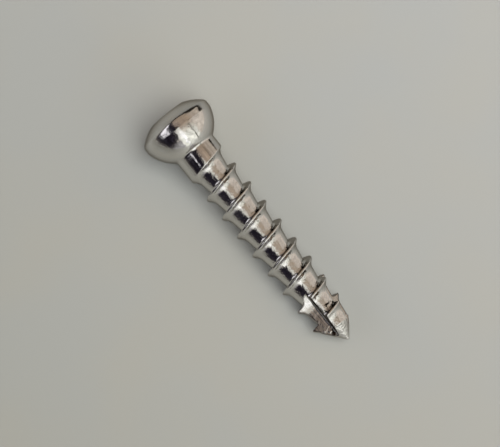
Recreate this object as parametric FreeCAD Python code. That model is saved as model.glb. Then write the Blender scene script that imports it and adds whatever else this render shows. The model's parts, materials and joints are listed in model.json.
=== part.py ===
import FreeCAD, Part
import math
import os

# Cortical bone screw, self-tapping, with a coarse right-hand buttress thread. Sizes are in millimetres.
# The screw is first drawn upright: its axis is Z, the top of the head is at height 0 and the tip points down.
# It is then laid on its side, the way a loose screw comes to rest on a table.

# Head
head_diameter = 6.0
head_flat_diameter = 3.12
head_top_height = 1.11
rim_height = 0.36
rim_round = 0.4
rim_round_angle = 45.0
seat_wider_than_rim = 0.06

# Shaft and thread
overall_length = 22.0
thread_diameter = 3.5
root_diameter = 2.26
pitch = 1.83
neck_length = 0.99
crest_land = 0.1
head_flank_angle = 6.0
tip_flank_angle = 42.0
root_taper_angle = 10.0
root_round = 1.15
groove_start_angle = 12.0

# Point and cutting flutes
point_half_angle = 38.5
point_round = 0.12
flute_count = 3
flute_length = 5.22
flute_cutter_radius = 2.0
flute_floor_height = 0.45
flute_corner_offset = 0.37
flute_rake_angle = 9.0
flute_corner_round = 0.12

# Drive socket
socket_across_flats = 2.5
socket_depth = 2.7
socket_wall_top = 0.08
drill_point_angle = 118.0

# How the loose screw lies: a flute's edge stops it from rolling at this turn about its axis
resting_turn = 11.5

# How far the cutting shapes stand clear of the metal
clear = 0.4

# Sizes that follow from the ones above
head_radius = head_diameter / 2
head_flat_radius = head_flat_diameter / 2
seat_radius = head_radius + seat_wider_than_rim
thread_radius = thread_diameter / 2
root_radius = root_diameter / 2
rim_top = -head_top_height
rim_bottom = rim_top - rim_height
seat_centre = rim_bottom + math.sqrt(seat_radius**2 - head_radius**2)
neck_top = seat_centre - math.sqrt(seat_radius**2 - thread_radius**2)
groove_top = neck_top - neck_length
tip_end = -overall_length
point_angle = math.radians(point_half_angle)
sharp_tip = tip_end + point_round - point_round / math.sin(point_angle)
point_top = sharp_tip + thread_radius / math.tan(point_angle)
flute_top = tip_end + flute_length
run_out_radius = max(flute_cutter_radius, thread_radius + clear / 4 - flute_floor_height)
axis_start = FreeCAD.Vector(0, 0, 0)
axis_up = FreeCAD.Vector(0, 0, 1)


def at(radius, height):
    """A point at a distance from the axis and at a height."""
    return FreeCAD.Vector(radius, 0, height)


def arc_about(centre, radius, first, last):
    """An arc in the plane through the axis. Its two angles are in radians above the outward direction."""
    points = []
    for angle in (first, (first + last) / 2, last):
        points.append(centre + at(radius * math.cos(angle), radius * math.sin(angle)))
    return Part.Arc(*points).toShape()


def joined(parts):
    """A closed face from arcs given in order, with a straight line wherever two arcs don't meet."""
    edges = []
    for index, part in enumerate(parts):
        start = parts[index - 1].lastVertex(True).Point
        end = part.firstVertex(True).Point
        if start.distanceToPoint(end) > 1e-6:
            edges.append(Part.LineSegment(start, end).toShape())
        edges.append(part)
    return Part.Face(Part.Wire(edges))


def line(start, end):
    """A straight edge between two points."""
    return Part.LineSegment(start, end).toShape()


def top_dome():
    """The domed rise from the rim to the flat top, and the rounding at its foot."""
    turn = math.radians(rim_round_angle)
    outward = at(math.cos(turn), math.sin(turn))
    round_centre = at(head_radius - rim_round, rim_top)
    foot = round_centre + outward * rim_round
    chord = at(head_flat_radius, 0) - foot
    dome_radius = -chord.dot(chord) / (2 * chord.dot(outward))
    dome_centre = foot - outward * dome_radius
    crown = at(head_flat_radius, 0) - dome_centre
    dome = arc_about(dome_centre, dome_radius, math.atan2(crown.z, crown.x), turn)
    return [dome, arc_about(round_centre, rim_round, turn, 0)]


def seat():
    """The spherical underside of the head, from the rim down to the neck."""
    upper = -math.acos(head_radius / seat_radius)
    lower = -math.acos(thread_radius / seat_radius)
    return arc_about(at(0, seat_centre), seat_radius, upper, lower)


def screw_blank():
    """The turned blank: domed head with a cylindrical rim and a spherical seat, shaft and conical point."""
    tip = arc_about(at(0, tip_end + point_round), point_round, -point_angle, -math.pi / 2)
    shoulder = line(at(thread_radius, point_top), tip.firstVertex(True).Point)
    axis = line(at(0, tip_end), at(0, 0))
    outline = joined(top_dome() + [seat(), shoulder, tip, axis])
    return outline.revolve(axis_start, axis_up, 360)


def corner_arc(corner, before, after, radius):
    """The arc that rounds a corner between two straight sides."""
    back = (before - corner).normalize()
    ahead = (after - corner).normalize()
    half = back.getAngle(ahead) / 2
    reach = radius / math.tan(half)
    centre = corner + (back + ahead).normalize() * (radius / math.sin(half))
    middle = centre + (corner - centre).normalize() * radius
    return Part.Arc(corner + back * reach, middle, corner + ahead * reach).toShape()


def groove_outline():
    """Section of the thread groove: long sloping side below each crest, tapering root and steep side."""
    depth = thread_radius - root_radius
    slope = math.tan(math.radians(tip_flank_angle))
    taper = math.tan(math.radians(root_taper_angle))
    steep = math.tan(math.radians(head_flank_angle))
    lower_edge = pitch - crest_land
    deepest = lower_edge - depth * steep
    bend_depth = (depth - deepest * taper) / (1 - slope * taper)
    past = crest_land / 5
    upper_side = at(thread_radius + past, past * slope)
    bend = at(thread_radius - bend_depth, -bend_depth * slope)
    deep = at(root_radius, -deepest)
    lower_side = at(thread_radius + past, -lower_edge - past * steep)
    root_arc = corner_arc(bend, upper_side, deep, root_round)
    steep_side = line(deep, lower_side)
    outside = line(lower_side + at(clear, 0), upper_side + at(clear, 0))
    upper_wall = line(upper_side + at(clear, 0), upper_side)
    return joined([root_arc, steep_side, outside, upper_wall])


def helical_path(turns):
    """The cutter's path: whole turns of a helix that start at height 0, then a straight line off the shaft."""
    edges = []
    for index in range(turns):
        one_turn = Part.makeHelix(pitch, pitch, thread_radius)
        one_turn.translate(at(0, pitch * index))
        edges.extend(one_turn.Edges)
    leave = at(thread_radius, pitch * turns)
    lift_off = math.sqrt(thread_radius**2 - root_radius**2) + clear
    ahead = FreeCAD.Vector(0, 1, pitch / (2 * math.pi * thread_radius))
    return Part.Wire(edges + [line(leave, leave + ahead * lift_off)])


def thread_groove():
    """The groove that a whirling cutter leaves: it climbs the shaft and lifts straight off below the head."""
    top_edge = groove_top + pitch * groove_start_angle / 360
    turns = math.ceil((top_edge - tip_end) / pitch) + 1
    sweep = Part.BRepOffsetAPI.MakePipeShell(helical_path(turns))
    sweep.setBiNormalMode(axis_up)
    sweep.add(groove_outline().OuterWire, False, False)
    sweep.build()
    sweep.makeSolid()
    groove = sweep.shape()
    groove.rotate(axis_start, axis_up, groove_start_angle)
    groove.translate(at(0, top_edge - pitch * turns))
    return groove


def flute():
    """One cutting flute: a notch with a raked cutting face that runs out in the arc of the disc cutter."""
    rake = math.tan(math.radians(flute_rake_angle))
    reach = thread_radius + clear
    corner = FreeCAD.Vector(-flute_corner_offset, -flute_floor_height, 0)
    face_end = corner + FreeCAD.Vector(run_out_radius * rake, -run_out_radius, 0)
    floor_end = corner - FreeCAD.Vector(reach, 0, 0)
    far = FreeCAD.Vector(floor_end.x, face_end.y, 0)
    round_corner = corner_arc(corner, floor_end, face_end, flute_corner_round)
    section = joined([round_corner, line(face_end, far), line(far, floor_end)])
    full_depth_top = flute_top - run_out_length()
    section.translate(at(0, full_depth_top))
    straight = section.extrude(at(0, tip_end - clear - full_depth_top))
    pivot = FreeCAD.Vector(0, face_end.y, full_depth_top)
    run_out = section.revolve(pivot, FreeCAD.Vector(1, 0, 0), 90)
    return straight.fuse(run_out)


def run_out_length():
    """How far up the shaft the disc cutter still cuts after the flute's floor ends."""
    cut_depth = thread_radius - flute_floor_height
    return math.sqrt(2 * run_out_radius * cut_depth - cut_depth**2)


def hex_socket():
    """The six-sided drive socket with its drilled bottom and a small bevel at the mouth."""
    flat_radius = socket_across_flats / 2
    corner_radius = flat_radius / math.cos(math.radians(30))
    corners = []
    for index in range(7):
        turn = math.radians(60 * index)
        corners.append(FreeCAD.Vector(corner_radius * math.cos(turn), corner_radius * math.sin(turn), 0))
    six_sides = Part.Face(Part.makePolygon(corners)).extrude(at(0, -socket_depth))
    point_height = flat_radius / math.tan(math.radians(drill_point_angle / 2))
    drill_point = Part.makeCone(0, flat_radius, point_height, at(0, -socket_depth - point_height))
    mouth_radius = head_flat_radius - socket_wall_top
    mouth = Part.makeCone(0, mouth_radius, mouth_radius, at(0, -mouth_radius))
    bevel_floor = mouth.cut(Part.makeCylinder(flat_radius, mouth_radius * 2, at(0, -mouth_radius * 2)))
    return six_sides.fuse([drill_point, bevel_floor])


def rest_tilt(points):
    """The lean at which the head and the threaded end touch the table together, in radians."""
    least = 0
    most = math.radians(20)
    for attempt in range(25):
        lean = (least + most) / 2
        down = FreeCAD.Vector(math.sin(lean), 0, -math.cos(lean))
        head_reach = max(point.dot(down) for point in points if point.x < -groove_top)
        thread_reach = max(point.dot(down) for point in points if point.x > -groove_top)
        if head_reach > thread_reach:
            least = lean
        else:
            most = lean
    return lean


def lay_down(screw):
    """Lie the screw on its rim and thread with the tip towards +X, centred over the origin at height 0."""
    screw.rotate(axis_start, axis_up, -resting_turn)
    screw.rotate(axis_start, FreeCAD.Vector(0, 1, 0), -90)
    screw.rotate(axis_start, FreeCAD.Vector(1, 0, 0), -90)
    lean = rest_tilt(screw.tessellate(0.02)[0])
    screw.rotate(axis_start, FreeCAD.Vector(0, 1, 0), math.degrees(lean))
    box = screw.optimalBoundingBox(False, False)
    screw.translate(FreeCAD.Vector(-box.Center.x, -box.Center.y, -box.ZMin))
    return screw


def bone_screw():
    """The whole screw, turned and milled from one bar."""
    flutes = []
    for index in range(flute_count):
        one = flute()
        one.rotate(axis_start, axis_up, 360 * index / flute_count)
        flutes.append(one)
    screw = screw_blank().cut(thread_groove())
    screw = screw.cut(flutes)
    return screw.cut(hex_socket()).Solids[0]


os.makedirs("parts", exist_ok=True)
lay_down(bone_screw()).exportStep("parts/bone_screw.step")
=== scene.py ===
"""A self-tapping cortical bone screw of polished steel, lying on a pale table.

The screw is drawn in its own frame, in millimetres: its axis is Z, the top of
the head is at height 0, the tip points down and the camera looks along +Y.
Each part of it is worked out as a surface on a grid, cut with the others into
one closed mesh, and then carried into the row frame, in metres.
"""

import json
import logging
import math
from dataclasses import dataclass, field
from enum import Enum

import bpy
import numpy as np
from mathutils import Matrix, Vector

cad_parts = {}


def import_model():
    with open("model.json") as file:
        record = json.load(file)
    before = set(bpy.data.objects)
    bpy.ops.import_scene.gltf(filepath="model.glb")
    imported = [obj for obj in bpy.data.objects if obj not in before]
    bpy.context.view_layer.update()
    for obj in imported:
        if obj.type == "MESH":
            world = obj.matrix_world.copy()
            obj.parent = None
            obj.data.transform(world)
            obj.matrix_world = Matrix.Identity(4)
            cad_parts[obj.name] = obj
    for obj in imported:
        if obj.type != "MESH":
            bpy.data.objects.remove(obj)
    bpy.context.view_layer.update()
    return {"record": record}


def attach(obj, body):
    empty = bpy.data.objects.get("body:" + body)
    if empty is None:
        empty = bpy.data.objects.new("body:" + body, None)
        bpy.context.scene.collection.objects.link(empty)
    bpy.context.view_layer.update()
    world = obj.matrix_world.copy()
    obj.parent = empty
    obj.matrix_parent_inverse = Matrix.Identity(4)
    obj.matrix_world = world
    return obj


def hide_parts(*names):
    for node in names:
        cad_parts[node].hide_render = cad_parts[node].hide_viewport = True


log = logging.getLogger("bone_screw")

MILLIMETRE = 0.001
FULL_TURN = 2 * math.pi
SAME_POINT = 1e-7


class Region(Enum):
    """Which tool left a face of the screw, as its material index while it is cut."""

    TURNED = 0
    GROOVE = 1
    FLUTE = 2
    SOCKET = 3


def arc(centre: tuple, radius: float, first: float, last: float, steps: int) -> np.ndarray:
    """Points on an arc: the centre plus the radius times the cosine and sine of even angles.

    Args:
        centre: Distance from the axis and height of the arc's centre.
        radius: Radius of the arc.
        first: First angle in degrees above the outward direction.
        last: Last angle in degrees.
        steps: Number of equal steps.

    Returns:
        The points, one a row.
    """
    turn = np.radians(np.linspace(first, last, steps + 1))
    return np.column_stack((centre[0] + radius * np.cos(turn), centre[1] + radius * np.sin(turn)))


def rounded(corners: np.ndarray, radii: np.ndarray, steps: int) -> np.ndarray:
    """A closed outline with round corners.

    At each corner the arc's centre lies on the bisector of the two sides, at the
    radius over the sine of half the angle between them. The arc turns from one
    side's normal to the other's in equal steps. A radius of 0 gives the corner
    itself, repeated, and the repeats are dropped.

    Args:
        corners: Corner points, one a row.
        radii: Radius at each corner.
        steps: Number of equal steps on each arc.

    Returns:
        The outline's points, one a row.
    """
    back = np.roll(corners, 1, axis=0) - corners
    ahead = np.roll(corners, -1, axis=0) - corners
    back /= np.linalg.norm(back, axis=1, keepdims=True)
    ahead /= np.linalg.norm(ahead, axis=1, keepdims=True)
    half = np.arccos(np.clip((back * ahead).sum(1), -1, 1)) / 2
    middle = back + ahead
    middle /= np.linalg.norm(middle, axis=1, keepdims=True)
    centre = corners + middle * (radii / np.sin(half))[:, None]
    reach = radii / np.tan(half)
    start = corners + back * reach[:, None] - centre
    end = corners + ahead * reach[:, None] - centre
    first = np.arctan2(start[:, 1], start[:, 0])
    swing = np.arctan2(end[:, 1], end[:, 0]) - first
    swing = (swing + math.pi) % FULL_TURN - math.pi
    turn = first[:, None] + swing[:, None] * np.linspace(0, 1, steps + 1)
    points = centre[:, None, :] + radii[:, None, None] * np.stack((np.cos(turn), np.sin(turn)), -1)
    points = points.reshape(-1, 2)
    step = np.linalg.norm(points - np.roll(points, 1, axis=0), axis=1)
    return points[step > SAME_POINT]


def densified(points: np.ndarray, longest: float) -> np.ndarray:
    """An open outline whose long straight runs are divided evenly.

    Args:
        points: The outline's points, one a row.
        longest: The longest run allowed between two points.

    Returns:
        The outline with the added points, one a row.
    """
    run = np.linalg.norm(np.diff(points, axis=0), axis=1)
    parts = np.maximum(np.ceil(run / longest), 1).astype(int)
    index = np.repeat(np.arange(len(run)), parts)
    share = (np.arange(parts.sum()) - np.repeat(np.cumsum(parts) - parts, parts)) / parts[index]
    filled = points[index] + share[:, None] * (points[index + 1] - points[index])
    return np.vstack((filled, points[-1]))


def grid_faces(rows: int, columns: int, rings: bool) -> np.ndarray:
    """Quads of a grid: a point, the next in its row, and the two below them, going round.

    Args:
        rows: Number of rows of points.
        columns: Number of points in a row.
        rings: Whether each row is a closed ring.

    Returns:
        Four point numbers a row.
    """
    index = np.arange(rows * columns).reshape(rows, columns)
    if rings:
        index = np.hstack((index, index[:, :1]))
    corners = (index[:-1, :-1], index[:-1, 1:], index[1:, 1:], index[1:, :-1])
    return np.stack(corners, -1).reshape(-1, 4)


def mesh_object(name: str, points: np.ndarray, faces: list, region: Region) -> bpy.types.Object:
    """A mesh object from points and faces, with every face pointing outwards.

    Each face's area times how far a corner of it lies along its normal, summed over
    the faces, is negative where they point inwards, and then all are turned round.

    Args:
        name: The object's name.
        points: Vertex positions, one a row.
        faces: Lists of vertex numbers.
        region: The tool that the faces belong to.

    Returns:
        The linked object.
    """
    mesh = bpy.data.meshes.new(name)
    mesh.from_pydata(points.tolist(), [], faces)
    mesh.update()
    made = bpy.data.objects.new(name, mesh)
    bpy.context.scene.collection.objects.link(made)
    corner = np.array([points[face[0]] for face in faces])
    normal = np.empty(len(faces) * 3)
    area = np.empty(len(faces))
    mesh.polygons.foreach_get("normal", normal)
    mesh.polygons.foreach_get("area", area)
    if (corner * normal.reshape(-1, 3)).sum(1) @ area < 0:
        mesh.flip_normals()
    known = bpy.data.materials
    for option in Region:
        mesh.materials.append(known.get(option.name) or known.new(option.name))
    mesh.polygons.foreach_set("material_index", np.full(len(faces), region.value, np.int32))
    return made


def revolved(
    name: str, outline: np.ndarray, segments: int, phase: float, region: Region
) -> bpy.types.Object:
    """A closed turned solid: each radius times the cosine and sine of the angle, at its height.

    Args:
        name: The object's name.
        outline: Radius and height of each point; the first and last lie on the axis.
        segments: Number of points round the axis.
        phase: Angle of the first segment, in radians.
        region: The tool that the faces belong to.

    Returns:
        The linked object.
    """
    turn = phase + FULL_TURN * np.arange(segments) / segments
    ring = outline[1:-1]
    grid = np.stack(
        (
            ring[:, :1] * np.cos(turn),
            ring[:, :1] * np.sin(turn),
            np.repeat(ring[:, 1:], segments, axis=1),
        ),
        -1,
    )
    poles = np.array([[0, 0, outline[0, 1]], [0, 0, outline[-1, 1]]])
    points = np.vstack((grid.reshape(-1, 3), poles))
    faces = grid_faces(len(ring), segments, True).tolist()
    first = np.arange(segments)
    after = np.roll(first, -1)
    base = (len(ring) - 1) * segments
    top = np.full(segments, len(points) - 2)
    bottom = np.full(segments, len(points) - 1)
    faces += np.column_stack((after, first, top)).tolist()
    faces += np.column_stack((base + first, base + after, bottom)).tolist()
    return mesh_object(name, points, faces, region)


def swept(name: str, grid: np.ndarray, region: Region) -> bpy.types.Object:
    """A closed tube: each row of the grid is its section at one station, the ends are caps.

    Args:
        name: The object's name.
        grid: Positions by station and section point.
        region: The tool that the faces belong to.

    Returns:
        The linked object.
    """
    stations, around = grid.shape[:2]
    faces = grid_faces(stations, around, True).tolist()
    faces.append(list(range(around))[::-1])
    faces.append(list(range((stations - 1) * around, stations * around)))
    return mesh_object(name, grid.reshape(-1, 3), faces, region)


@dataclass(frozen=True)
class Placement:
    """Where the screw's own frame lies in the row frame.

    Attributes:
        mouth: The centre of the head's top, in metres.
        towards_tip: Direction from head to tip.
        resting_turn: How far the screw is turned about its axis as it lies, in degrees.
    """

    mouth: tuple
    towards_tip: tuple
    resting_turn: float = 11.5

    @classmethod
    def from_record(cls, record: dict) -> "Placement":
        """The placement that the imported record's drive socket states.

        Args:
            record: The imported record.

        Returns:
            The placement.
        """
        socket = next(mount for mount in record["mounts"] if mount["name"] == "drive_socket")
        return cls(tuple(socket["pos_m"]), tuple(-value for value in socket["axis"]))

    def axes(self) -> np.ndarray:
        """Rows are the drawing's X, Y and Z directions in the row frame.

        Returns:
            A 3 by 3 array.
        """
        up_screw = -np.array(self.towards_tip) / np.linalg.norm(self.towards_tip)
        across = np.array((0.0, 1.0, 0.0))
        below = np.cross(up_screw, across)
        turn = math.radians(self.resting_turn)
        right = math.cos(turn) * across - math.sin(turn) * below
        away = math.cos(turn) * below + math.sin(turn) * across
        return np.array((right, away, up_screw))

    def matrix(self) -> Matrix:
        """The change from drawing millimetres to row metres.

        Returns:
            A 4 by 4 matrix.
        """
        made = Matrix.Identity(4)
        columns = self.axes().T * MILLIMETRE
        for row in range(3):
            for column in range(3):
                made[row][column] = columns[row, column]
            made[row][3] = self.mouth[row]
        return made


@dataclass
class Head:
    """The head: flat top with the socket's bevel, domed edge, short rim and spherical seat.

    Attributes:
        diameter: Width of the rim.
        flat_diameter: Width of the flat top.
        top_height: Height of the top over the rim.
        rim_height: Height of the rim.
        rim_round: Radius of the round above the rim.
        rim_round_angle: Angle through which that round turns, in degrees.
        seat_wider_than_rim: How much the seat's radius is over the rim's.
        neck_round: Radius of the round between seat and neck.
        rim_ring: Height of a ring of faces at the rim's foot, which keeps its shading straight.
        dome_steps: Steps on the dome.
        rim_round_steps: Steps on the round above the rim.
        seat_steps: Steps on the seat.
        neck_round_steps: Steps on the round between seat and neck.
    """

    diameter: float = 6.0
    flat_diameter: float = 3.12
    top_height: float = 1.11
    rim_height: float = 0.36
    rim_round: float = 0.4
    rim_round_angle: float = 45.0
    seat_wider_than_rim: float = 0.06
    neck_round: float = 0.26
    rim_ring: float = 0.02
    dome_steps: int = 26
    rim_round_steps: int = 10
    seat_steps: int = 34
    neck_round_steps: int = 8

    def seat_radius(self) -> float:
        """Radius of the spherical seat."""
        return self.diameter / 2 + self.seat_wider_than_rim

    def seat_centre(self) -> float:
        """Height of the spherical seat's centre."""
        drop = math.sqrt(self.seat_radius() ** 2 - (self.diameter / 2) ** 2)
        return -self.top_height - self.rim_height + drop

    def neck_top(self, shaft_radius: float) -> float:
        """Height at which the seat meets the neck.

        Args:
            shaft_radius: Radius of the neck.

        Returns:
            The height.
        """
        return self.seat_centre() - math.sqrt(self.seat_radius() ** 2 - shaft_radius**2)

    def outline(self, mouth_radius: float, mouth_depth: float, shaft_radius: float) -> np.ndarray:
        """The head's outline from the axis over bevel, flat, dome, rim and seat to the neck.

        The dome's centre lies on the line through the rim round's centre and its upper
        end, at the same distance from that end and from the edge of the flat, so the
        dome leaves the round without a corner. The small round at the neck touches the
        seat's sphere from outside: its centre is one round radius off both.

        Args:
            mouth_radius: Radius of the bevel at the top of the socket.
            mouth_depth: Depth of that bevel.
            shaft_radius: Radius of the neck.

        Returns:
            Radius and height of each point, one a row.
        """
        radius = self.diameter / 2
        flat = np.array((self.flat_diameter / 2, 0.0))
        turn = math.radians(self.rim_round_angle)
        outward = np.array((math.cos(turn), math.sin(turn)))
        round_centre = np.array((radius - self.rim_round, -self.top_height))
        foot = round_centre + outward * self.rim_round
        chord = flat - foot
        dome_radius = -chord @ chord / (2 * chord @ outward)
        dome_centre = foot - outward * dome_radius
        crown = flat - dome_centre
        crown_angle = math.degrees(math.atan2(crown[1], crown[0]))
        bevel_foot = (mouth_radius - mouth_depth, -mouth_depth)
        bevel = np.array(((0, -mouth_depth), bevel_foot, (mouth_radius, 0)))
        foot_angle = self.rim_round_angle
        dome = arc(tuple(dome_centre), dome_radius, crown_angle, foot_angle, self.dome_steps)
        shoulder = arc(round_centre, self.rim_round, foot_angle, 0, self.rim_round_steps)[1:]
        rim_bottom = -self.top_height - self.rim_height
        rim = np.array(((radius, rim_bottom + self.rim_ring), (radius, rim_bottom)))
        upper = -math.degrees(math.acos(radius / self.seat_radius()))
        inner = shaft_radius + self.neck_round
        outer = self.seat_radius() + self.neck_round
        lower = -math.degrees(math.acos(inner / outer))
        centre = (0, self.seat_centre())
        seat = arc(centre, self.seat_radius(), upper, lower, self.seat_steps)[1:]
        fillet_centre = (inner, self.seat_centre() - math.sqrt(outer**2 - inner**2))
        fillet = arc(fillet_centre, self.neck_round, 180 + lower, 180, self.neck_round_steps)[1:]
        return np.vstack((bevel, dome, shoulder, rim, seat, fillet))


@dataclass
class Point:
    """The conical point with its small rounded tip.

    Attributes:
        overall_length: Length of the whole screw.
        half_angle: Angle between the cone's side and the axis, in degrees.
        tip_round: Radius of the tip.
        tip_steps: Steps on the tip's arc.
    """

    overall_length: float = 22.0
    half_angle: float = 38.5
    tip_round: float = 0.12
    tip_steps: int = 6

    def outline(self, shaft_radius: float) -> np.ndarray:
        """The cone down to the tip: a straight side, then an arc round a centre above the tip.

        Args:
            shaft_radius: Radius of the shaft.

        Returns:
            Radius and height of each point, one a row.
        """
        angle = math.radians(self.half_angle)
        centre = -self.overall_length + self.tip_round
        sharp = centre - self.tip_round / math.sin(angle)
        top = sharp + shaft_radius / math.tan(angle)
        tip = arc((0, centre), self.tip_round, -self.half_angle, -90, self.tip_steps)
        tip[-1, 0] = 0
        return np.vstack(((shaft_radius, top), tip))


@dataclass
class Thread:
    """The buttress thread: one helical groove with a steep side towards the head.

    Attributes:
        diameter: Width across the crests.
        root_diameter: Width at the deepest part of the groove.
        pitch: Distance between two crests.
        neck_length: Length of the plain neck.
        crest_land: Width of the crest.
        head_flank_angle: Slope of the steep side, in degrees off straight across.
        tip_flank_angle: Slope of the long side, told the same way.
        root_taper_angle: Taper of the root, in degrees off the axis.
        root_round: Radius of the bend between the long side and the root.
        start_angle: Angle at which the groove starts, in degrees.
        crest_rounds: Radius of the crest's lower edge and of its upper one.
        crest_flares: How far the section widens outside each of those edges.
        crest_lift: How far outside the crest it has widened.
        corner_round: Radius in the groove beside the steep side.
        clear: How far the cutting shape stands clear of the metal.
        per_turn: Stations in a turn of the helix.
        corner_steps: Steps on each round of the section.
        longest_run: Longest run between two points of the section.
        leaving_steps: Stations on the straight line off the shaft.
    """

    diameter: float = 3.5
    root_diameter: float = 2.26
    pitch: float = 1.83
    neck_length: float = 0.99
    crest_land: float = 0.1
    head_flank_angle: float = 6.0
    tip_flank_angle: float = 42.0
    root_taper_angle: float = 10.0
    root_round: float = 0.85
    start_angle: float = 12.0
    crest_rounds: tuple = (0.13, 0.012)
    crest_flares: tuple = (0.062, 0.014)
    crest_lift: float = 0.004
    corner_round: float = 0.15
    clear: float = 0.4
    per_turn: int = 168
    corner_steps: int = 7
    longest_run: float = 0.16
    leaving_steps: int = 24

    def section(self) -> np.ndarray:
        """The groove's section, with the lower edge of the crest above it at height 0.

        The long side falls away from that edge at the tip flank's angle, bends into the
        tapering root, and the steep side climbs to the crest below. Outside the crest
        the section flares a little, which leaves the crest's edges round.

        Returns:
            Radius and height of each point of the closed section, one a row.
        """
        radius, root = self.diameter / 2, self.root_diameter / 2
        depth = radius - root
        slope = math.tan(math.radians(self.tip_flank_angle))
        taper = math.tan(math.radians(self.root_taper_angle))
        steep = math.tan(math.radians(self.head_flank_angle))
        lower_edge = self.pitch - self.crest_land
        deepest = lower_edge - depth * steep
        bend_depth = (depth - deepest * taper) / (1 - slope * taper)
        above, below = self.crest_flares
        corners = np.array(
            (
                (radius + self.clear, above),
                (radius + self.crest_lift, above),
                (radius, 0),
                (radius - bend_depth, -bend_depth * slope),
                (root, -deepest),
                (radius, -lower_edge),
                (radius + self.crest_lift, -lower_edge - below),
                (radius + self.clear, -lower_edge - below),
            )
        )
        first, last = self.crest_rounds
        radii = np.array((0, 0, first, self.root_round, self.corner_round, last, 0, 0))
        smooth = rounded(corners, radii, self.corner_steps)
        closed = densified(np.vstack((smooth, smooth[:1])), self.longest_run)
        return closed[:-1]

    def groove(self, groove_top: float, lowest: float) -> bpy.types.Object:
        """The cutting shape: the section carried up a helix, then straight off the shaft.

        At helix angle a the section stands in the plane through the axis at that angle,
        raised by the pitch times a over a full turn. At the top it goes on along the
        helix's tangent without turning, so that it leaves the shaft.

        Args:
            groove_top: Height of the groove's upper edge at angle 0.
            lowest: A height below which the groove has to reach.

        Returns:
            The cutting shape.
        """
        section = self.section()
        start = math.radians(self.start_angle)
        top_edge = groove_top + self.pitch * start / FULL_TURN
        turns = math.ceil((top_edge - lowest) / self.pitch) + 1
        turn = start + FULL_TURN * np.linspace(-turns, 0, turns * self.per_turn + 1)
        rise = top_edge + self.pitch * (turn - start) / FULL_TURN
        helix = np.stack(
            (
                section[None, :, 0] * np.cos(turn)[:, None],
                section[None, :, 0] * np.sin(turn)[:, None],
                section[None, :, 1] + rise[:, None],
            ),
            -1,
        )
        reach = math.sqrt((self.diameter / 2) ** 2 - (self.root_diameter / 2) ** 2) + self.clear
        climb = self.pitch / (math.pi * self.diameter)
        ahead = np.array((-math.sin(start), math.cos(start), climb))
        gone = reach * np.linspace(0, 1, self.leaving_steps + 1)[1:, None, None]
        leaving = helix[-1][None] + ahead * gone
        return swept("groove_cut", np.vstack((helix, leaving)), Region.GROOVE)


@dataclass
class Flutes:
    """The self-tapping flutes: notches with a raked face, run out in the arc of a disc cutter.

    Attributes:
        count: Number of flutes.
        length: Length from the tip to the end of the run-out.
        cutter_radius: Radius of the disc cutter.
        floor_height: Distance of the floor from the axis.
        corner_offset: How far the notch's corner lies beside the axis.
        rake_angle: Rake of the cutting face, in degrees.
        corner_round: Radius of the corner.
        reach: Width of the cutting shape.
        front: How far short of the cutter's axis the cutting shape ends.
        past_tip: How far it reaches past the tip.
        corner_steps: Steps on the corner's round.
        longest_run: Longest run between two points of the section.
        swing_steps: Steps on the run-out's arc.
    """

    count: int = 3
    length: float = 5.22
    cutter_radius: float = 2.0
    floor_height: float = 0.45
    corner_offset: float = 0.37
    rake_angle: float = 9.0
    corner_round: float = 0.12
    reach: float = 2.15
    front: float = 0.05
    past_tip: float = 0.4
    corner_steps: int = 8
    longest_run: float = 0.25
    swing_steps: int = 56

    def run_out(self, shaft_radius: float) -> float:
        """How far up the shaft the disc cutter still cuts after the flat floor ends.

        Args:
            shaft_radius: Radius of the shaft.

        Returns:
            The length along the shaft.
        """
        depth = shaft_radius - self.floor_height
        return math.sqrt(2 * self.cutter_radius * depth - depth**2)

    def cut(self, index: int, tip: float, shaft_radius: float) -> bpy.types.Object:
        """One flute's cutting shape.

        The section stands still down the shaft. Upwards it swings about an axis along X
        at the cutter's radius in front of the floor, through a quarter turn: its distance
        from that axis times the cosine gives Y, and times the sine gives the rise.

        Args:
            index: Number of the flute.
            tip: Height of the screw's tip.
            shaft_radius: Radius of the shaft.

        Returns:
            The cutting shape.
        """
        pivot = -self.floor_height - self.cutter_radius
        front = pivot + self.front
        rake = math.tan(math.radians(self.rake_angle))
        corners = np.array(
            (
                (-self.corner_offset, -self.floor_height),
                (-self.corner_offset + (-self.floor_height - front) * rake, front),
                (-self.corner_offset - self.reach, front),
                (-self.corner_offset - self.reach, -self.floor_height),
            )
        )
        section = rounded(corners, np.array((self.corner_round, 0, 0, 0)), self.corner_steps)
        section = densified(np.vstack((section, section[:1])), self.longest_run)[:-1]
        full_depth_top = tip + self.length - self.run_out(shaft_radius)
        swing = np.concatenate(([0.0], np.linspace(0, math.pi / 2, self.swing_steps + 1)))
        base = np.full(self.swing_steps + 2, full_depth_top)
        base[0] = tip - self.past_tip
        arm = section[:, 1] - pivot
        grid = np.stack(
            (
                np.broadcast_to(section[:, 0], (len(swing), len(section))),
                pivot + arm * np.cos(swing)[:, None],
                base[:, None] + arm * np.sin(swing)[:, None],
            ),
            -1,
        )
        turn = FULL_TURN * index / self.count
        cosine, sine = math.cos(turn), math.sin(turn)
        across = grid[..., 0] * cosine - grid[..., 1] * sine
        along = grid[..., 0] * sine + grid[..., 1] * cosine
        turned = np.stack((across, along, grid[..., 2]), -1)
        return swept(f"flute_cut_{index}", turned, Region.FLUTE)


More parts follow.
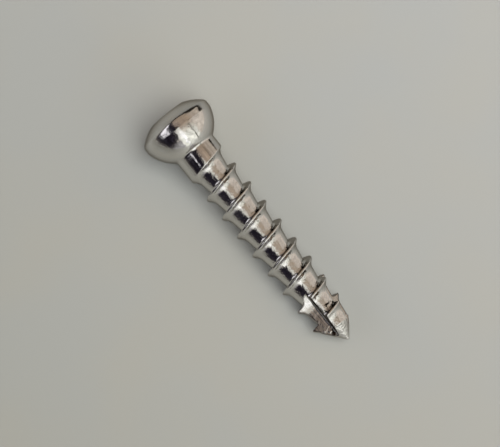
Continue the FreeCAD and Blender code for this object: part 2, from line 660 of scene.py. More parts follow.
@dataclass
class DriveSocket:
    """The six-sided drive socket with its drilled bottom and the bevel at its mouth.

    Attributes:
        sides: Number of sides.
        across_flats: Distance between opposite sides.
        depth: Depth of the six sides.
        mouth_radius: Outer radius of the bevel.
        drill_point_angle: Angle of the drilled cone, in degrees.
        corner_round: Radius of their corners.
        bevel_inside: Where the bevel ends, as a share of the distance from axis to side.
        above: How far the cutting shape stands out of the head.
        ledge: Width of the ledge round the drilled cone.
        blunt: Share of the cone's radius at which it ends.
        corner_steps: Steps on each corner's round.
        longest_run: Longest run between two points of the section.
    """

    sides: int = 6
    across_flats: float = 2.5
    depth: float = 2.7
    mouth_radius: float = 1.48
    drill_point_angle: float = 118.0
    corner_round: float = 0.05
    bevel_inside: float = 0.98
    above: float = 0.5
    ledge: float = 0.01
    blunt: float = 0.02
    corner_steps: int = 5
    longest_run: float = 0.12

    def bevel_depth(self) -> float:
        """Depth of the 45 degree bevel at the mouth."""
        return self.mouth_radius - self.across_flats / 2 * self.bevel_inside

    def cut(self) -> bpy.types.Object:
        """The cutting shape: hexagons above the head and at the bottom, then the drill's cone.

        Returns:
            The cutting shape.
        """
        flat = self.across_flats / 2
        turn = FULL_TURN * np.arange(self.sides) / self.sides
        corners = np.column_stack((np.cos(turn), np.sin(turn)))
        corners = corners * flat / math.cos(math.pi / self.sides)
        ring = rounded(corners, np.full(self.sides, self.corner_round), self.corner_steps)
        ring = densified(np.vstack((ring, ring[:1])), self.longest_run)[:-1]
        circle = ring / np.linalg.norm(ring, axis=1, keepdims=True) * (flat - self.ledge)
        drop = flat / math.tan(math.radians(self.drill_point_angle / 2))
        end = -self.depth - drop * (1 - self.blunt)
        rings = np.stack((ring, ring, circle, circle * self.blunt))
        heights = np.repeat((self.above, -self.depth, -self.depth, end), len(ring))
        grid = np.dstack((rings, heights.reshape(len(rings), -1)))
        return swept("socket_cut", grid, Region.SOCKET)


class Graph:
    """A short way to build a node tree."""

    def __init__(self, tree: bpy.types.NodeTree) -> None:
        """Keeps the tree.

        Args:
            tree: The node tree to build in.
        """
        self.tree = tree

    def node(self, kind: str, **settings: object) -> bpy.types.Node:
        """A new node.

        Args:
            kind: The node's type name.
            settings: Values of the node's own settings.

        Returns:
            The node.
        """
        made = self.tree.nodes.new(kind)
        for name, value in settings.items():
            setattr(made, name, value)
        return made

    def feed(self, socket: bpy.types.NodeSocket, value: object) -> None:
        """Links a socket into another, or sets its value.

        Args:
            socket: The socket to feed.
            value: A socket to link, or a constant.
        """
        if isinstance(value, bpy.types.NodeSocket):
            self.tree.links.new(value, socket)
        else:
            socket.default_value = value

    def math(self, operation: str, *values: object) -> bpy.types.NodeSocket:
        """The result of a Math node.

        Args:
            operation: The node's operation.
            values: Its inputs, sockets or numbers.

        Returns:
            The result's socket.
        """
        made = self.node("ShaderNodeMath", operation=operation)
        for socket, value in zip(made.inputs, values):
            self.feed(socket, value)
        return made.outputs[0]

    def product(self, *shares: object) -> bpy.types.NodeSocket:
        """Several shares multiplied.

        Args:
            shares: Sockets or numbers.

        Returns:
            The product's socket.
        """
        made = shares[0]
        for share in shares[1:]:
            made = self.math("MULTIPLY", made, share)
        return made

    def vector(self, operation: str, *values: object) -> bpy.types.NodeSocket:
        """The result of a Vector Math node.

        Args:
            operation: The node's operation.
            values: Its inputs, sockets or vectors.

        Returns:
            The result's socket.
        """
        made = self.node("ShaderNodeVectorMath", operation=operation)
        for socket, value in zip(made.inputs, values):
            self.feed(socket, value)
        return made.outputs["Value" if operation in ("DOT_PRODUCT", "LENGTH") else "Vector"]

    def dot(self, vector: bpy.types.NodeSocket, direction: object) -> bpy.types.NodeSocket:
        """How far a vector points along a fixed direction."""
        return self.vector("DOT_PRODUCT", vector, tuple(direction))

    def coordinates(self, kind: str) -> bpy.types.NodeSocket:
        """One output of Texture Coordinate."""
        return self.node("ShaderNodeTexCoord").outputs[kind]

    def attribute(self, name: str) -> bpy.types.NodeSocket:
        """The value of a face attribute."""
        return self.node("ShaderNodeAttribute", attribute_name=name).outputs["Fac"]

    def noise(
        self, vector: bpy.types.NodeSocket, density: object, detail: float
    ) -> bpy.types.NodeSocket:
        """Noise from 0 to 1.

        Args:
            vector: Where the noise is read.
            density: Cells in a unit of length, as one number or one for each axis.
            detail: Octaves of finer noise.

        Returns:
            The noise's socket.
        """
        if isinstance(density, tuple):
            vector, density = self.vector("MULTIPLY", vector, density), 1.0
        made = self.node("ShaderNodeTexNoise")
        made.inputs["Scale"].default_value = density
        made.inputs["Detail"].default_value = detail
        self.feed(made.inputs["Vector"], vector)
        return made.outputs[0]

    def ranged(
        self, value: bpy.types.NodeSocket, source: tuple, target: tuple, kind: str = "LINEAR"
    ) -> bpy.types.NodeSocket:
        """A value carried from one range to another.

        Args:
            value: The value's socket.
            source: Lowest and highest value.
            target: What those two become.
            kind: How the value runs between them.

        Returns:
            The result's socket.
        """
        made = self.node("ShaderNodeMapRange", interpolation_type=kind)
        self.feed(made.inputs["Value"], value)
        names = ("From Min", "From Max", "To Min", "To Max")
        for name, limit in zip(names, (*source, *target)):
            made.inputs[name].default_value = limit
        return made.outputs["Result"]

    def step(self, value: bpy.types.NodeSocket, start: float, end: float) -> bpy.types.NodeSocket:
        """A smooth step from 0 to 1 between two values.

        Args:
            value: The value's socket.
            start: Value at which the step leaves 0.
            end: Value at which it reaches 1, which may lie below the start.

        Returns:
            The step's socket.
        """
        if start < end:
            return self.ranged(value, (start, end), (0.0, 1.0), "SMOOTHSTEP")
        return self.ranged(value, (end, start), (1.0, 0.0), "SMOOTHSTEP")

    def band(
        self, value: bpy.types.NodeSocket, low: float, high: float, soft: float
    ) -> bpy.types.NodeSocket:
        """1 between two values and 0 outside, with soft edges.

        Args:
            value: The value's socket.
            low: Middle of the rising edge.
            high: Middle of the falling edge.
            soft: Half the width of each edge.

        Returns:
            The band's socket.
        """
        rise = self.step(value, low - soft, low + soft)
        fall = self.step(value, high + soft, high - soft)
        return self.math("MULTIPLY", rise, fall)

    def mix(self, share: object, first: object, second: object) -> bpy.types.NodeSocket:
        """Two colours mixed.

        Args:
            share: Share of the second colour.
            first: First colour, a socket or a value.
            second: Second colour, a socket or a value.

        Returns:
            The mixed colour's socket.
        """
        made = self.node("ShaderNodeMix", data_type="RGBA")
        self.feed(made.inputs["Factor"], share)
        self.feed(made.inputs[6], opaque(first))
        self.feed(made.inputs[7], opaque(second))
        return made.outputs[2]

    def ramp(self, value: bpy.types.NodeSocket, stops: tuple) -> bpy.types.NodeSocket:
        """A colour ramp.

        Args:
            value: The value's socket, from 0 to 1.
            stops: Position and colour of each stop.

        Returns:
            The colour's socket.
        """
        made = self.node("ShaderNodeValToRGB")
        elements = made.color_ramp.elements
        elements.remove(elements[1])
        elements[0].position, elements[0].color = stops[0][0], opaque(stops[0][1])
        for position, colour in stops[1:]:
            elements.new(position).color = opaque(colour)
        self.feed(made.inputs["Fac"], value)
        return made.outputs["Color"]


def opaque(colour: object) -> object:
    """A colour with full opacity, or the socket itself.

    Args:
        colour: Three numbers, or a socket.

    Returns:
        Four numbers, or the socket.
    """
    return colour if isinstance(colour, bpy.types.NodeSocket) else (*colour, 1.0)


class Mark(Enum):
    """Where a layer of the steel's relief differs from the rest of the screw."""

    NOWHERE = 0
    THREAD_GROOVE = 1
    FLUTE = 2
    TIP = 3


@dataclass(frozen=True)
class Relief:
    """One layer of the steel's relief.

    Attributes:
        per_mm: Noise cells in a millimetre along the screw's X, Y and Z.
        detail: Octaves of finer noise.
        height: Its height on most of the screw, in metres.
        marked_height: Its height where the mark is.
        mark: Where the height differs.
    """

    per_mm: tuple
    detail: float
    height: float
    marked_height: float = 0.0
    mark: Mark = Mark.NOWHERE


@dataclass(frozen=True)
class Speckle:
    """Soft spots: noise stretched along the screw's axes and stepped from 0 to 1.

    Attributes:
        per_mm: Noise cells in a millimetre along the screw's X, Y and Z.
        detail: Octaves of finer noise.
        rise: Noise levels at which a spot starts and is whole.
    """

    per_mm: tuple
    detail: float
    rise: tuple

    def share(self, graph: Graph, drawn: bpy.types.NodeSocket) -> bpy.types.NodeSocket:
        """How much of the surface point a spot covers.

        Args:
            graph: The material's node tree.
            drawn: The surface point in the screw's own frame.

        Returns:
            The share's socket.
        """
        return graph.step(graph.noise(drawn, self.per_mm, self.detail), *self.rise)


@dataclass(frozen=True)
class PolishedSteel:
    """Electropolished implant steel with faint tool marks and a painted shade line along the
    flutes' edges.

    Attributes:
        colour: Reflected colour, linear.
        edge_tint: Colour of the reflection at a glancing angle.
        roughness: Lowest and highest roughness.
        edge_round: Radius of the worn edges, in metres.
        edge_samples: Samples of the worn edges.
        painted_shade_width: Width of the painted shade line along the flutes' edges, in metres.
        painted_shade_samples: Samples of that line.
        painted_shade_turn: Cosine of the edge's turn at which the line starts and is whole.
        painted_shade_share: How much of the steel's colour the line covers.
        painted_shade_colour: The painted shade line's colour.
        dirt: Colour of the crumbs left in the flute and the last groove.
        dirt_spots: Middle of each place with crumbs and its reach along X, Y and Z.
        dirt_edge: Share of the reach at which a place starts and is whole.
        crumbs: The crumbs' pattern.
        smudges: Where handling left the polish duller.
        scratches: Fine scratches round the screw.
        scratch_share: How dull a scratch is.
        dented: Heights between which the dents at the tip set in.
        relief: The polish's waves and ripples, the lathe's rings, the milling
            cutter's streaks in the flutes and the dents at the tip.
    """

    colour: tuple = (0.64, 0.625, 0.60)
    edge_tint: tuple = (0.37, 0.345, 0.315)
    roughness: tuple = (0.06, 0.22)
    edge_round: float = 0.00005
    edge_samples: int = 6
    painted_shade_width: float = 0.00019
    painted_shade_samples: int = 8
    painted_shade_turn: tuple = (0.995, 0.96)
    painted_shade_share: float = 0.95
    painted_shade_colour: tuple = (0.07, 0.06, 0.055)
    dirt: tuple = (0.025, 0.018, 0.014)
    dirt_spots: tuple = (
        ((0.44, -1.2, -19.02), (0.68, 0.8, 0.36)),
        ((-0.52, -0.45, -20.75), (0.34, 0.3, 0.42)),
    )
    dirt_edge: tuple = (1.0, 0.8)
    crumbs: Speckle = Speckle((4.6, 4.6, 5.5), 1.0, (0.50, 0.54))
    smudges: Speckle = Speckle((0.9, 0.9, 0.9), 4.0, (0.38, 0.8))
    scratches: Speckle = Speckle((14.0, 3.0, 1.2), 2.0, (0.62, 0.72))
    scratch_share: float = 0.25
    dented: tuple = (-20.0, -20.6)
    relief: tuple = (
        Relief((2.2, 2.2, 1.6), 2.0, 9.8e-6, 28e-6, Mark.THREAD_GROOVE),
        Relief((6.0, 6.0, 5.0), 2.0, 7.5e-6, 20e-6, Mark.THREAD_GROOVE),
        Relief((0.6, 0.6, 28.0), 3.0, 1.5e-6),
        Relief((8.0, 8.0, 0.4), 2.0, 0.0, 20e-6, Mark.FLUTE),
        Relief((5.5, 5.5, 5.0), 1.0, 0.0, 50e-6, Mark.TIP),
    )

    def material(self, placement: Placement) -> bpy.types.Material:
        """The node material.

        Args:
            placement: Where the screw's own frame lies, for the marks that run round it.

        Returns:
            The material.
        """
        material = bpy.data.materials.new("polished_steel")
        material.use_nodes = True
        graph = Graph(material.node_tree)
        shader = material.node_tree.nodes["Principled BSDF"]
        shader.inputs["Metallic"].default_value = 1.0
        shader.inputs["Specular Tint"].default_value = opaque(self.edge_tint)
        drawn = self.drawn_position(graph, placement)
        milled = graph.attribute("milled")
        residue = self.residue(graph, drawn)
        # The steel's colour with the painted shade line along the flutes' edges, then the crumbs'
        # dirt.
        steel = graph.mix(self.painted_shade(graph, milled), self.colour, self.painted_shade_colour)
        graph.feed(shader.inputs["Base Color"], graph.mix(residue, steel, self.dirt))
        worn = graph.math("MULTIPLY", self.scratches.share(graph, drawn), self.scratch_share)
        dull = graph.math("MAXIMUM", self.smudges.share(graph, drawn), worn)
        dull = graph.math("MAXIMUM", dull, residue)
        graph.feed(shader.inputs["Roughness"], graph.ranged(dull, (0.0, 1.0), self.roughness))
        marks = {
            Mark.THREAD_GROOVE: graph.attribute("whirled"),
            Mark.FLUTE: milled,
            Mark.TIP: graph.step(graph.dot(drawn, (0.0, 0.0, 1.0)), *self.dented),
        }
        graph.feed(shader.inputs["Normal"], self.normal(graph, drawn, marks))
        return material

    def painted_shade(self, graph: Graph, milled: bpy.types.NodeSocket) -> bpy.types.NodeSocket:
        """Painted shade: a dark line along the flutes' edges, where a wide bevel turns the
        surface's direction, in place of the shadowed table those edges reflect.

        Args:
            graph: The material's node tree.
            milled: 1 in the flutes.

        Returns:
            How much of the surface point the line covers.
        """
        bevel = graph.node("ShaderNodeBevel", samples=self.painted_shade_samples)
        bevel.inputs["Radius"].default_value = self.painted_shade_width
        flat = graph.node("ShaderNodeNewGeometry").outputs["Normal"]
        turn = graph.vector("DOT_PRODUCT", bevel.outputs["Normal"], flat)
        return graph.product(milled, graph.step(turn, *self.painted_shade_turn), self.painted_shade_share)

    def normal(
        self, graph: Graph, drawn: bpy.types.NodeSocket, marks: dict
    ) -> bpy.types.NodeSocket:
        """The surface's direction: the worn edges, with each layer of the relief on the last.

        Args:
            graph: The material's node tree.
            drawn: The surface point in the screw's own frame.
            marks: 1 where each mark is.

        Returns:
            The direction's socket.
        """
        worn_edge = graph.node("ShaderNodeBevel", samples=self.edge_samples)
        worn_edge.inputs["Radius"].default_value = self.edge_round
        normal = worn_edge.outputs["Normal"]
        for layer in self.relief:
            height = layer.height
            if layer.mark in marks:
                rise = layer.marked_height - layer.height
                height = graph.math("MULTIPLY_ADD", marks[layer.mark], rise, layer.height)
            bump = graph.node("ShaderNodeBump")
            bump.inputs["Strength"].default_value = 1.0
            graph.feed(bump.inputs["Distance"], height)
            graph.feed(bump.inputs["Height"], graph.noise(drawn, layer.per_mm, layer.detail))
            graph.feed(bump.inputs["Normal"], normal)
            normal = bump.outputs["Normal"]
        return normal

    def residue(self, graph: Graph, drawn: bpy.types.NodeSocket) -> bpy.types.NodeSocket:
        """Where dark crumbs sit in the last groove and in the flute: spots in small ellipsoids.

        Args:
            graph: The material's node tree.
            drawn: The surface point in the screw's own frame.

        Returns:
            The share of dirt.
        """
        near = 0.0
        for place, reach in self.dirt_spots:
            scaled = graph.vector("DIVIDE", graph.vector("SUBTRACT", drawn, place), reach)
            inside = graph.step(graph.vector("LENGTH", scaled), *self.dirt_edge)
            near = graph.math("MAXIMUM", inside, near)
        return graph.math("MULTIPLY", near, self.crumbs.share(graph, drawn))

    def drawn_position(self, graph: Graph, placement: Placement) -> bpy.types.NodeSocket:
        """The surface point in the screw's own frame, in millimetres.

        Args:
            graph: The material's node tree.
            placement: Where that frame lies.

        Returns:
            The point's socket.
        """
        back = placement.matrix().inverted()
        mapping = graph.node("ShaderNodeMapping")
        mapping.inputs["Scale"].default_value = (1 / MILLIMETRE,) * 3
        mapping.inputs["Rotation"].default_value = back.to_3x3().normalized().to_euler()
        mapping.inputs["Location"].default_value = back.translation
        graph.feed(mapping.inputs["Vector"], graph.coordinates("Object"))
        return mapping.outputs["Vector"]


@dataclass
class BoneScrew:
    """The whole screw, turned and milled from one bar.

    Attributes:
        placement: Where the screw lies.
        head: The head.
        point: The conical point.
        thread: The thread.
        flutes: The cutting flutes.
        socket: The drive socket.
        steel: The finish.
        smooth_below: Angle between two faces below which their edge is shaded smooth.
    """

    placement: Placement
    head: Head = field(default_factory=Head)
    point: Point = field(default_factory=Point)
    thread: Thread = field(default_factory=Thread)
    flutes: Flutes = field(default_factory=Flutes)
    socket: DriveSocket = field(default_factory=DriveSocket)
    steel: PolishedSteel = field(default_factory=PolishedSteel)
    smooth_below: float = 24.0

    def blank(self) -> bpy.types.Object:
        """The turned blank, before any groove, flute or socket.

        Returns:
            The blank.
        """
        radius = self.thread.diameter / 2
        head = self.head.outline(self.socket.mouth_radius, self.socket.bevel_depth(), radius)
        outline = np.vstack((head, self.point.outline(radius)))
        phase = math.radians(self.thread.start_angle)
        return revolved("bone_screw_body", outline, self.thread.per_turn, phase, Region.TURNED)

    def cutters(self) -> list:
        """Every cutting shape, in the order in which the tools are used.

        Returns:
            The cutting shapes.
        """
        radius = self.thread.diameter / 2
        tip = -self.point.overall_length
        groove_top = self.head.neck_top(radius) - self.thread.neck_length
        made = [self.thread.groove(groove_top, tip)]
        made += [self.flutes.cut(index, tip, radius) for index in range(self.flutes.count)]
        made.append(self.socket.cut())
        return made

    def machined(self) -> bpy.types.Object:
        """The blank with every cut made in it, as one closed mesh in the drawing frame.

        Returns:
            The cut screw.
        """
        screw = self.blank()
        cutters = self.cutters()
        for cutter in cutters:
            cut = screw.modifiers.new(cutter.name, "BOOLEAN")
            cut.operation = "DIFFERENCE"
            cut.solver = "MANIFOLD"
            cut.object = cutter
        graph = bpy.context.evaluated_depsgraph_get()
        whole = bpy.data.meshes.new_from_object(screw.evaluated_get(graph))
        screw.modifiers.clear()
        screw.data = whole
        for cutter in cutters:
            bpy.data.objects.remove(cutter)
        return screw

    def build(self) -> bpy.types.Object:
        """The finished screw in the row frame, riding on its body.

        Returns:
            The screw.
        """
        screw = self.machined()
        mesh = screw.data
        mesh.transform(self.placement.matrix())
        region = np.empty(len(mesh.polygons), np.int32)
        mesh.polygons.foreach_get("material_index", region)
        log.info("faces by tool: %s", np.bincount(region).tolist())
        for name, tool in (("milled", Region.FLUTE), ("whirled", Region.GROOVE)):
            marked = mesh.attributes.new(name, "FLOAT", "FACE")
            marked.data.foreach_set("value", (region == tool.value).astype(np.float32))
        mesh.polygons.foreach_set("material_index", np.zeros(len(region), np.int32))
        mesh.materials.clear()
        mesh.materials.append(self.steel.material(self.placement))
        mesh.shade_smooth()
        mesh.set_sharp_from_angle(angle=math.radians(self.smooth_below))
        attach(screw, "root")
        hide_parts("bone_screw")
        return screw


@dataclass(frozen=True)
class TablePaint:
    """Pale satin paint with a gradient across the picture and faint cool and warm blotches.

    Attributes:
        shaded_end_colour: Colour at the painted shaded end of the gradient, linear.
        lit_end_colour: Colour at its painted lit end.
        cool_tint: Tint of the cool blotches.
        warm_tint: Tint of the warm ones.
        reach: Distance from the middle to the gradient's ends, in metres.
        blotch_density: Blotches in a metre.
        blotch_detail: Octaves of finer blotches.
        blotch_rise: Noise levels between which the tint turns from cool to warm.
        roughness: Roughness of the paint.
        gloss: Its specular level.
    """

    shaded_end_colour: tuple = (0.375, 0.382, 0.348)
    lit_end_colour: tuple = (0.482, 0.497, 0.482)
    cool_tint: tuple = (0.985, 0.995, 1.01)
    warm_tint: tuple = (1.015, 1.0, 0.975)
    reach: float = 0.0255
    blotch_density: float = 70.0
    blotch_detail: float = 2.0
    blotch_rise: tuple = (0.35, 0.65)
    roughness: float = 0.32
    gloss: float = 0.3

    def material(self, brighter: np.ndarray) -> bpy.types.Material:
        """The node material.

        Args:
            brighter: Direction on the table in which the painted light gets brighter.

        Returns:
            The material.
        """
        material = bpy.data.materials.new("table_paint")
        material.use_nodes = True
        shader = material.node_tree.nodes["Principled BSDF"]
        graph = Graph(material.node_tree)
        point = graph.coordinates("Object")
        # Painted light: the table's colour runs from a shaded end to a lit end across the picture.
        share = graph.math("MULTIPLY_ADD", graph.dot(point, brighter), 0.5 / self.reach, 0.5)
        blotches = graph.noise(point, self.blotch_density, self.blotch_detail)
        warm = graph.step(blotches, *self.blotch_rise)
        tint = graph.mix(warm, self.cool_tint, self.warm_tint)
        paint = graph.mix(share, self.shaded_end_colour, self.lit_end_colour)
        graph.feed(shader.inputs["Base Color"], graph.vector("MULTIPLY", paint, tint))
        shader.inputs["Roughness"].default_value = self.roughness
        shader.inputs["Specular IOR Level"].default_value = self.gloss
        return material


@dataclass
class Table:
    """The pale table top that the screw lies on.

    Attributes:
        placement: Where the screw lies.
        half_width: Half the table's width, in metres.
        rows: Number of points along each side.
        brightest: Where the painted light is brightest, in degrees from the head's direction to
            the right.
        paint: The finish.
    """

    placement: Placement
    half_width: float = 1.5
    rows: int = 3
    brightest: float = 83.0
    paint: TablePaint = TablePaint()

    def build(self) -> bpy.types.Object:
        """The table top, a square at height 0.

        Returns:
            The table top.
        """
        side = np.linspace(-self.half_width, self.half_width, self.rows)
        across, along = np.meshgrid(side, side)
        points = np.stack((across, along, np.zeros_like(across)), -1).reshape(-1, 3)
        faces = grid_faces(self.rows, self.rows, False)
        mesh = bpy.data.meshes.new("table_top")
        mesh.from_pydata(points.tolist(), [], faces.tolist())
        mesh.update()
        mesh.materials.append(self.paint.material(self.gradient()))
        table = bpy.data.objects.new("table_top", mesh)
        bpy.context.scene.collection.objects.link(table)
        return table

    def gradient(self) -> np.ndarray:
        """The direction on the table in which the painted light gets brighter.

        Returns:
            A unit vector.
        """
        right, _, up_screw = self.placement.axes()
        turn = math.radians(self.brightest)
        return right * math.sin(turn) + up_screw * math.cos(turn)


@dataclass(frozen=True)
class Bearing:
    """A direction in the room, as sockets.

    Attributes:
        graph: The world's node tree.
        towards: The direction.
        side: Side angle in degrees.
        end: End angle in degrees.
    """

    graph: Graph
    towards: bpy.types.NodeSocket
    side: bpy.types.NodeSocket
    end: bpy.types.NodeSocket


@dataclass(frozen=True)
class Patch:
    """A soft-edged patch of the room, in a range of side angles and past an end angle.

    Attributes:
        colour: Its colour, linear.
        side: Middle of its rising edge, of its falling edge, and half the width of both.
        end: End angle at which it starts, and at which it is whole.
        share: How much of what is behind it is covered.
    """

    colour: tuple
    side: tuple
    end: tuple
    share: float = 1.0

    def cover(self, view: Bearing) -> bpy.types.NodeSocket:
        """How much of a direction the patch fills.

        Args:
            view: The direction.

        Returns:
            The share's socket.
        """
        graph = view.graph
        beside = graph.band(view.side, *self.side)
        return graph.product(beside, graph.step(view.end, *self.end), self.share)

    def over(self, view: Bearing, lit: bpy.types.NodeSocket) -> bpy.types.NodeSocket:
        """The room's colour with the patch laid over it.

        Args:
            view: The direction.
            lit: The colour behind the patch.

        Returns:
            The colour's socket.
        """
        return view.graph.mix(self.cover(view), lit, self.colour)


@dataclass
class Room:
    """The light round the table: a dim warm room with a bright window and a dark cloth screen.

    Directions are told by two angles. The side angle turns about the screw's axis,
    from straight at the camera towards the picture's right. The end angle rises
    from the plane across the screw towards its tip. Colours are linear.

    Attributes:
        placement: Where the screw lies.
        backdrop: The plain colour that the camera sees instead of the room.
        wall_stops: The walls' colours by side angle, from half a turn left to half a turn right.
        wall_patches: The glow, the pale end and the bright side wall, laid over the walls.
        skirting: Colour of the low dark skirting.
        skirting_top: Heights between which it ends, as a share of the direction's length.
        skirting_end: The same along the screw, towards the tip.
        skirting_left: The same across the screw, to the left.
        chair: A dark chair at the right, beyond the head.
        curtain: The curtain beside the window.
        window: The window's colour.
        window_rise: End angles between which the window sets in.
        window_strip: The part of the window that reaches lower.
        left_edge: Normal of the plane of the window's left edge: right, to the camera, to the tip.
        left_rise: How far past that edge the window starts and is whole.
        bar: Normal of the plane of the window's bar, told the same way.
        right_rise: How far past the bar the window starts and is whole.
        bar_band: Edges and softness of the bar, off its plane.
        bar_rise: End angles between which the bar sets in.
        bar_colour: The bar's colour.
        glare: The brightest part of the window.
        clutter: Lowest and highest brightness of the cluttered room.
        clutter_noise: Density and octaves of the clutter.
        clutter_range: Noise levels that give the lowest and highest brightness.
        screen: Colour of the dark screen.
        screen_edge: Side angle of its right edge.
        screen_steps: End angles between which that edge moves, and by how many degrees.
        screen_rise: Side angles past the edge at which the screen starts and is whole.
        screen_left: Side angles between which its left edge lies.
        screen_end: End angles between which its upper edge lies.
        fold: Colour of the screen's folds.
        fold_noise: Density and octaves of the folds.
        fold_rise: Noise levels at which a fold starts and is whole.
        lamp: Colour of the lamp on the left.
        lamp_bands: End angles, side angles and share of its spot and of its streak.
    """

    placement: Placement
    backdrop: tuple = (0.46, 0.455, 0.41)
    wall_stops: tuple = (
        (0.0, (0.30, 0.29, 0.26)),
        (0.28, (0.36, 0.35, 0.32)),
        (0.30, (0.10, 0.09, 0.09)),
        (0.45, (0.12, 0.095, 0.105)),
        (0.49, (0.43, 0.35, 0.30)),
        (0.54, (0.42, 0.33, 0.26)),
        (0.62, (0.40, 0.31, 0.235)),
        (0.66, (0.52, 0.44, 0.37)),
        (0.71, (0.58, 0.50, 0.42)),
        (0.80, (0.55, 0.49, 0.42)),
        (1.0, (0.35, 0.33, 0.30)),
    )
    wall_patches: tuple = (
        Patch((0.78, 0.72, 0.62), (-25.0, 125.0, 16.0), (8.0, 45.0), 0.8),
        Patch((0.85, 0.85, 0.87), (-85.0, -15.0, 12.0), (42.0, 60.0), 0.45),
        Patch((0.86, 0.78, 0.71), (48.0, 115.0, 12.0), (6.0, 16.0), 0.6),
    )
    skirting: tuple = (0.025, 0.022, 0.018)
    skirting_top: tuple = (0.25, 0.19)
    skirting_end: tuple = (0.15, 0.05)
    skirting_left: tuple = (-0.35, -0.15)
    chair: Patch = Patch((0.025, 0.022, 0.018), (54.0, 90.0, 4.0), (-9.0, -16.0))
    curtain: Patch = Patch((0.72, 0.70, 0.66), (-26.0, -1.0, 7.0), (5.0, 12.0))
    window: tuple = (1.14, 1.15, 1.07)
    window_rise: tuple = (22.0, 54.0)
    window_strip: Patch = Patch((1.14, 1.15, 1.07), (-4.0, 3.5, 3.5), (6.0, 14.0))
    left_edge: tuple = (0.965, 0.183, 0.187)
    left_rise: tuple = (-0.01, 0.1)
    bar: tuple = (0.873, -0.371, -0.315)
    right_rise: tuple = (0.28, 0.10)
    bar_band: tuple = (-0.02, 0.05, 0.012)
    bar_rise: tuple = (22.0, 30.0)
    bar_colour: tuple = (0.10, 0.09, 0.075)
    glare: Patch = Patch((1.6, 1.61, 1.66), (-8.0, 5.0, 4.0), (24.0, 46.0))
    clutter: tuple = (0.55, 1.45)
    clutter_noise: tuple = (7.0, 3.0)
    clutter_range: tuple = (0.3, 0.7)
    screen: tuple = (0.012, 0.010, 0.015)
    screen_edge: float = 7.0
    screen_steps: tuple = (
        (-1.0, 6.0, -10.0),
        (-3.0, -3.8, -12.0),
        (6.0, 20.0, -13.0),
        (38.0, 52.0, -24.0),
        (50.0, 62.0, -20.0),
    )
    screen_rise: tuple = (6.0, -3.0)
    screen_left: tuple = (-77.0, -60.0)
    screen_end: tuple = (62.0, 34.0)
    fold: tuple = (0.06, 0.052, 0.075)
    fold_noise: tuple = (11.0, 2.0)
    fold_rise: tuple = (0.5, 0.72)
    lamp: tuple = (1.4, 1.38, 1.48)
    lamp_bands: tuple = (
        ((-75.0, -3.5, 4.0), (-54.0, -28.0, 6.0), 1.0),
        ((-3.3, 8.0, 0.5), (-33.5, -28.0, 1.5), 0.8),
    )

    def build(self) -> bpy.types.World:
        """The world: the camera sees the plain backdrop, and everything else the room.

        Returns:
            The world.
        """
        world = bpy.data.worlds.new("room")
        bpy.context.scene.world = world
        world.use_nodes = True
        graph = Graph(world.node_tree)
        background = world.node_tree.nodes["Background"]
        graph.feed(background.inputs["Color"], self.colour(graph))
        shown = graph.node("ShaderNodeBackground")
        shown.inputs["Color"].default_value = opaque(self.backdrop)
        mix = graph.node("ShaderNodeMixShader")
        graph.feed(mix.inputs["Fac"], graph.node("ShaderNodeLightPath").outputs["Is Camera Ray"])
        graph.feed(mix.inputs[1], background.outputs["Background"])
        graph.feed(mix.inputs[2], shown.outputs["Background"])
        graph.feed(world.node_tree.nodes["World Output"].inputs["Surface"], mix.outputs["Shader"])
        return world

    def frame(self) -> np.ndarray:
        """Rows are the directions to the picture's right, to the camera and to the tip."""
        right, away, up_screw = self.placement.axes()
        return np.array((right, -away, -up_screw))

    def colour(self, graph: Graph) -> bpy.types.NodeSocket:
        """The room's colour in each direction.

        Args:
            graph: The world's node tree.

        Returns:
            The colour's socket.
        """
        towards = graph.coordinates("Generated")
        across, facing, along = (graph.dot(towards, axis) for axis in self.frame())
        side = graph.math("MULTIPLY", graph.math("ARCTAN2", across, facing), math.degrees(1))
        end = graph.math("MULTIPLY", graph.math("ARCSINE", along), math.degrees(1))
        view = Bearing(graph, towards, side, end)
        low = graph.product(
            graph.step(graph.dot(towards, (0.0, 0.0, 1.0)), *self.skirting_top),
            graph.step(along, *self.skirting_end),
            graph.step(across, *self.skirting_left),
        )
        dark = graph.math("MAXIMUM", low, self.chair.cover(view))
        lit = graph.mix(dark, self.walls(view), self.skirting)
        lit = self.with_window(view, self.curtain.over(view, lit))
        lit = self.with_screen(view, self.cluttered(view, lit))
        shine = 0.0
        for end_band, side_band, share in self.lamp_bands:
            beside = graph.band(side, *side_band)
            part = graph.product(graph.band(end, *end_band), beside, share)
            shine = graph.math("MAXIMUM", part, shine)
        return graph.mix(shine, lit, self.lamp)

    def walls(self, view: Bearing) -> bpy.types.NodeSocket:
        """The dim walls by their side angle, with a warm glow towards the tip's end.

        Args:
            view: The direction.

        Returns:
            The colour's socket.
        """
        place = view.graph.math("MULTIPLY_ADD", view.side, 1 / 360.0, 0.5)
        lit = view.graph.ramp(place, self.wall_stops)
        for patch in self.wall_patches:
            lit = patch.over(view, lit)
        return lit

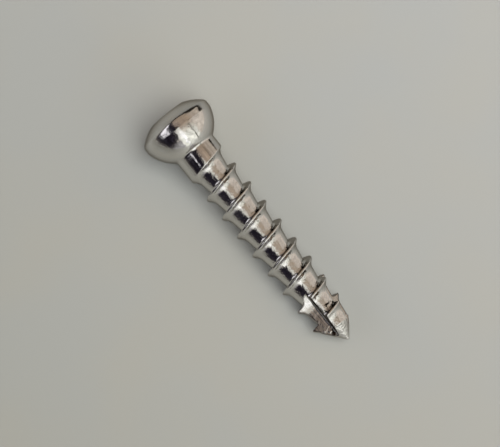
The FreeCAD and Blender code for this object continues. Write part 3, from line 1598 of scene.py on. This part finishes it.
    def with_window(self, view: Bearing, lit: bpy.types.NodeSocket) -> bpy.types.NodeSocket:
        """The room with its window.

        The window's two edges and its bar are straight, so each lies in a plane through
        the eye, and a direction's dot product with the plane's normal tells its side.

        Args:
            view: The direction.
            lit: The room's colour without the window.

        Returns:
            The colour's socket.
        """
        graph = view.graph
        past_left = graph.dot(view.towards, np.array(self.left_edge) @ self.frame())
        past_bar = graph.dot(view.towards, np.array(self.bar) @ self.frame())
        risen = graph.step(view.end, *self.window_rise)
        pane = graph.product(
            graph.step(past_left, *self.left_rise),
            graph.step(past_bar, *self.right_rise),
            graph.math("MAXIMUM", risen, self.window_strip.cover(view)),
        )
        lit = self.glare.over(view, graph.mix(pane, lit, self.window))
        bar_start = graph.step(view.end, *self.bar_rise)
        bar = graph.product(graph.band(past_bar, *self.bar_band), bar_start)
        return graph.mix(bar, lit, self.bar_colour)

    def cluttered(self, view: Bearing, lit: bpy.types.NodeSocket) -> bpy.types.NodeSocket:
        """The room's colour made uneven, as a room full of things is.

        Args:
            view: The direction.
            lit: The even colour.

        Returns:
            The colour's socket.
        """
        noise = view.graph.noise(view.towards, *self.clutter_noise)
        level = view.graph.ranged(noise, self.clutter_range, self.clutter)
        return view.graph.vector("MULTIPLY", lit, level)

    def with_screen(self, view: Bearing, lit: bpy.types.NodeSocket) -> bpy.types.NodeSocket:
        """The room with its dark screen, whose right edge draws back in steps.

        Args:
            view: The direction.
            lit: The room's colour without the screen.

        Returns:
            The colour's socket.
        """
        graph = view.graph
        edge = 0.0
        for first, last, back in self.screen_steps:
            edge = graph.math("MULTIPLY_ADD", graph.step(view.end, first, last), back, edge)
        past = graph.math("SUBTRACT", view.side, graph.math("ADD", edge, self.screen_edge))
        shade = graph.product(
            graph.step(past, *self.screen_rise),
            graph.step(view.side, *self.screen_left),
            graph.step(view.end, *self.screen_end),
        )
        folds = graph.step(graph.noise(view.towards, *self.fold_noise), *self.fold_rise)
        return graph.mix(shade, lit, graph.mix(folds, self.screen, self.fold))


@dataclass
class KeyLamp:
    """A soft lamp almost overhead, which lights the table and gives the screw its faint shadow.

    Attributes:
        size: Width of its disk, in metres.
        energy: Its power, in watts.
        colour: Its colour, linear.
        direction: Where it stands, seen from the screw.
        distance: How far off it is, in metres.
    """

    size: float = 0.45
    energy: float = 2.03
    colour: tuple = (0.97, 0.99, 1.0)
    direction: tuple = (0.22, 0.01, 0.975)
    distance: float = 0.55

    def build(self) -> bpy.types.Object:
        """The lamp, which no reflection shows.

        Returns:
            The lamp.
        """
        data = bpy.data.lights.new("key_lamp", "AREA")
        data.shape = "DISK"
        data.size = self.size
        data.energy = self.energy
        data.color = self.colour
        lamp = bpy.data.objects.new("key_lamp", data)
        direction = np.array(self.direction)
        lamp.location = Vector(direction * self.distance)
        lamp.rotation_mode = "QUATERNION"
        lamp.rotation_quaternion = Vector(-direction).to_track_quat("-Z", "Y")
        lamp.visible_glossy = False
        bpy.context.scene.collection.objects.link(lamp)
        return lamp


@dataclass
class Camera:
    """A long lens above the table, level with the middle of the screw.

    Attributes:
        placement: Where the screw lies.
        aim: What the camera looks at, in the drawing's millimetres.
        distance: Distance from there, in millimetres.
        focal_length: Focal length, in millimetres.
        sensor_width: Width of the sensor, in millimetres.
        clip: Nearest and furthest distance that shows, in metres.
        screw_turn: How far the screw is turned in the picture, in degrees.
        from_head: How far the camera leans towards the head, in degrees.
    """

    placement: Placement
    aim: tuple = (-0.293, 0.0, -10.41)
    distance: float = 136.4
    focal_length: float = 128.9
    sensor_width: float = 36.0
    clip: tuple = (0.005, 20.0)
    screw_turn: float = 39.0
    from_head: float = 0.5

    def build(self) -> bpy.types.Object:
        """The camera, turned so that the screw lies aslant in the picture.

        Returns:
            The camera.
        """
        data = bpy.data.cameras.new("camera")
        data.sensor_width = self.sensor_width
        data.lens = self.focal_length
        data.clip_start, data.clip_end = self.clip
        right, away, up_screw = self.placement.axes()
        lean = math.radians(self.from_head)
        back = -away * math.cos(lean) + up_screw * math.sin(lean)
        up_screw = up_screw * math.cos(lean) + away * math.sin(lean)
        turn = math.radians(self.screw_turn)
        picture_right = right * math.cos(turn) - up_screw * math.sin(turn)
        picture_up = right * math.sin(turn) + up_screw * math.cos(turn)
        target = np.array(self.placement.matrix() @ Vector(self.aim))
        place = target + back * self.distance * MILLIMETRE
        camera = bpy.data.objects.new("camera", data)
        matrix = Matrix.Identity(4)
        for column, axis in enumerate((picture_right, picture_up, back, place)):
            for row in range(3):
                matrix[row][column] = axis[row]
        camera.matrix_world = matrix
        bpy.context.scene.collection.objects.link(camera)
        bpy.context.scene.camera = camera
        return camera


def main() -> None:
    """Builds the screw, the table, the light and the camera."""
    logging.basicConfig(level=logging.INFO, format="%(name)s: %(message)s")
    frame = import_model()
    bpy.context.scene.view_settings.view_transform = "Standard"
    placement = Placement.from_record(frame["record"])
    screw = BoneScrew(placement).build()
    log.info("screw: %d faces", len(screw.data.polygons))
    log.info("table: %s", Table(placement).build().name)
    log.info("light: %s", Room(placement).build().name)
    log.info("light: %s", KeyLamp().build().name)
    log.info("camera: %s", Camera(placement).build().name)


if __name__ == "__main__":
    main()
